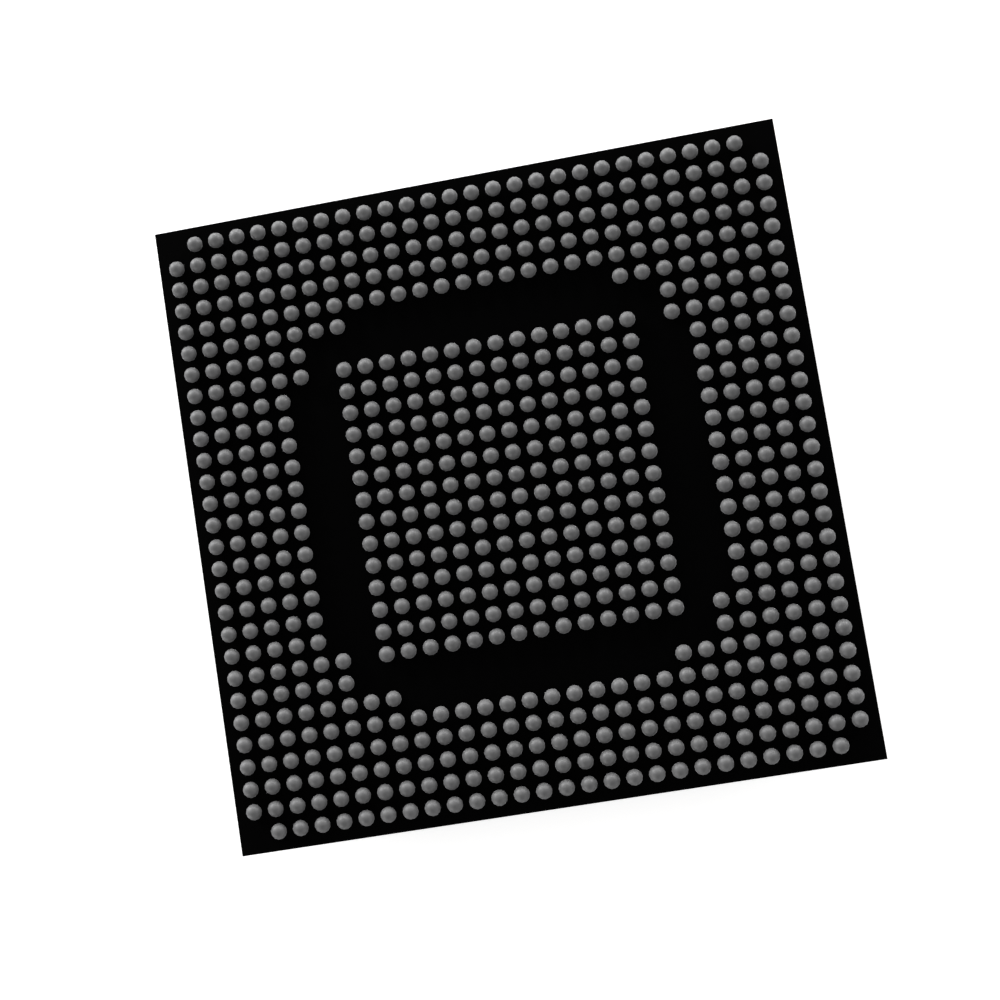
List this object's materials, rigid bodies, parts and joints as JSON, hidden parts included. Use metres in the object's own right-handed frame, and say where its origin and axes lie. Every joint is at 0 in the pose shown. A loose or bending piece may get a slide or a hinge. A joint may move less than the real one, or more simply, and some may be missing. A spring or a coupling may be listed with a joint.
{
  "type": "ball grid array chip",
  "caption": "Moulded ball grid array chip lying on its cap: square black package with solder balls in a wide border and a centre block.",
  "frame": {"origin": "centre of the marking face of the mould cap, which the part lies on", "axes": "+Z towards the solder balls, X and Y along the package's sides, with the first ball's corner at +X +Y"},
  "size_m": [0.023, 0.023, 0.0022],
  "materials": {
    "mould_compound": "fine matt moulded compound",
    "ball_side_mask_film": "matt black solder mask",
    "die_side_mask_film": "matt black solder mask",
    "laminate": "cut glass and resin laminate",
    "copper": "bare copper",
    "gold_plating": "satin plating",
    "gold_wire": "drawn wire",
    "die_epoxy": "filled epoxy",
    "silicon": "polished wafer",
    "solder": "dull reflowed solder"
  },
  "bodies": {
    "root": {"mould_cap": "mould_compound", "ball_side_mask": "ball_side_mask_film", "die_side_mask": "die_side_mask_film", "substrate_core": "laminate", "signal_vias": "copper", "signal_lands": "copper", "signal_tracks": "copper", "thermal_vias": "copper", "centre_plane": "copper", "bond_fingers": "gold_plating", "die_paddle": "gold_plating", "ground_ring": "gold_plating", "power_ring": "gold_plating", "gate_pad": "gold_plating", "bond_wires_north": "gold_wire", "bond_wires_west": "gold_wire", "bond_wires_south": "gold_wire", "bond_wires_east": "gold_wire", "die_attach": "die_epoxy", "die": "silicon", "balls_row_a": "solder", "balls_row_b": "solder", "balls_row_c": "solder", "balls_row_d": "solder", "balls_row_e": "solder", "balls_row_f": "solder", "balls_row_g": "solder", "balls_row_h": "solder", "balls_row_j": "solder", "balls_row_k": "solder", "balls_row_l": "solder", "balls_row_m": "solder", "balls_row_n": "solder", "balls_row_p": "solder", "balls_row_r": "solder", "balls_row_t": "solder", "balls_row_u": "solder", "balls_row_v": "solder", "balls_row_w": "solder", "balls_row_y": "solder", "balls_row_aa": "solder", "balls_row_ab": "solder", "balls_row_ac": "solder", "balls_row_ad": "solder", "balls_row_ae": "solder", "balls_row_af": "solder", "balls_row_ag": "solder", "balls_row_ah": "solder"}
  },
  "joints": []
}
